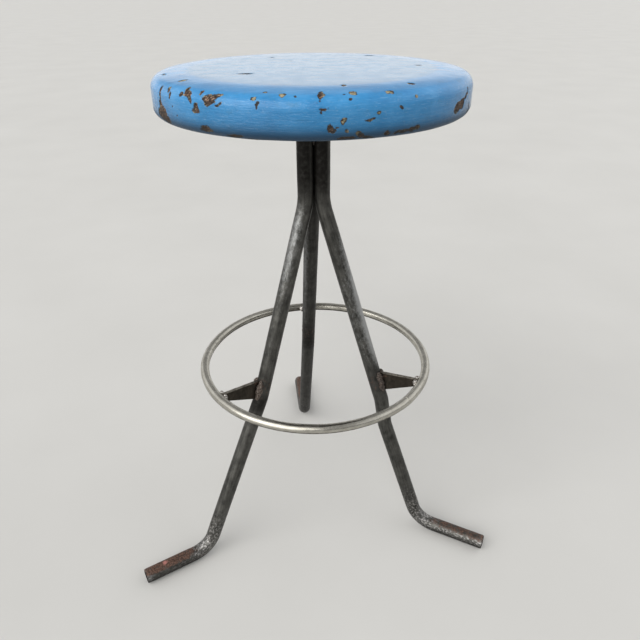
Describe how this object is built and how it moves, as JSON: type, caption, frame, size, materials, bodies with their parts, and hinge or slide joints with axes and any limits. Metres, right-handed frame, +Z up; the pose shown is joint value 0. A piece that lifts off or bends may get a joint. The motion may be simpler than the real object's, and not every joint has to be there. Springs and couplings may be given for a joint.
{
  "type": "bar stool with footrest",
  "caption": "Backless bar stool: round thick wooden seat on splayed bent steel tube legs, with a round bar footrest ring held by flat gussets.",
  "frame": {"origin": "centre of the stool's bounding box, on the floor that its feet stand on", "axes": "+Z up; +Y towards the rear leg; +X to the right of someone who faces the rear leg"},
  "size_m": [0.4904, 0.475, 0.643],
  "materials": {
    "seat_paint": "thick gloss blue paint brushed on solid wood, chipped along the edge down to brown wood",
    "leg_steel": "raw dark steel tube, mottled, with rust on the feet",
    "ring_steel": "bright worn round bar with fine scratches",
    "gusset_steel": "dark rusty flat plate, worn on its edges",
    "weld_metal": "rippled weld bead, rusty brown",
    "screw_steel": "dull zinc-plated screw"
  },
  "bodies": {
    "root": {"seat_board": "seat_paint", "mount_plate": "leg_steel", "seat_screw_1": "screw_steel", "seat_screw_2": "screw_steel", "seat_screw_3": "screw_steel", "leg_left": "leg_steel", "leg_right": "leg_steel", "leg_rear": "leg_steel", "gusset_left": "gusset_steel", "gusset_right": "gusset_steel", "gusset_rear": "gusset_steel", "footrest_ring": "ring_steel", "ring_butt_weld": "ring_steel", "weld_leg_left_a": "weld_metal", "weld_leg_left_b": "weld_metal", "weld_leg_right_a": "weld_metal", "weld_leg_right_b": "weld_metal", "weld_leg_rear_a": "weld_metal", "weld_leg_rear_b": "weld_metal", "weld_ring_left_a": "weld_metal", "weld_ring_left_b": "weld_metal", "weld_ring_right_a": "weld_metal", "weld_ring_right_b": "weld_metal", "weld_ring_rear_a": "weld_metal", "weld_ring_rear_b": "weld_metal", "weld_plate_left": "weld_metal", "weld_plate_right": "weld_metal", "weld_plate_rear": "weld_metal", "weld_seam_front": "weld_metal", "weld_seam_left": "weld_metal", "weld_seam_right": "weld_metal"}
  },
  "joints": []
}
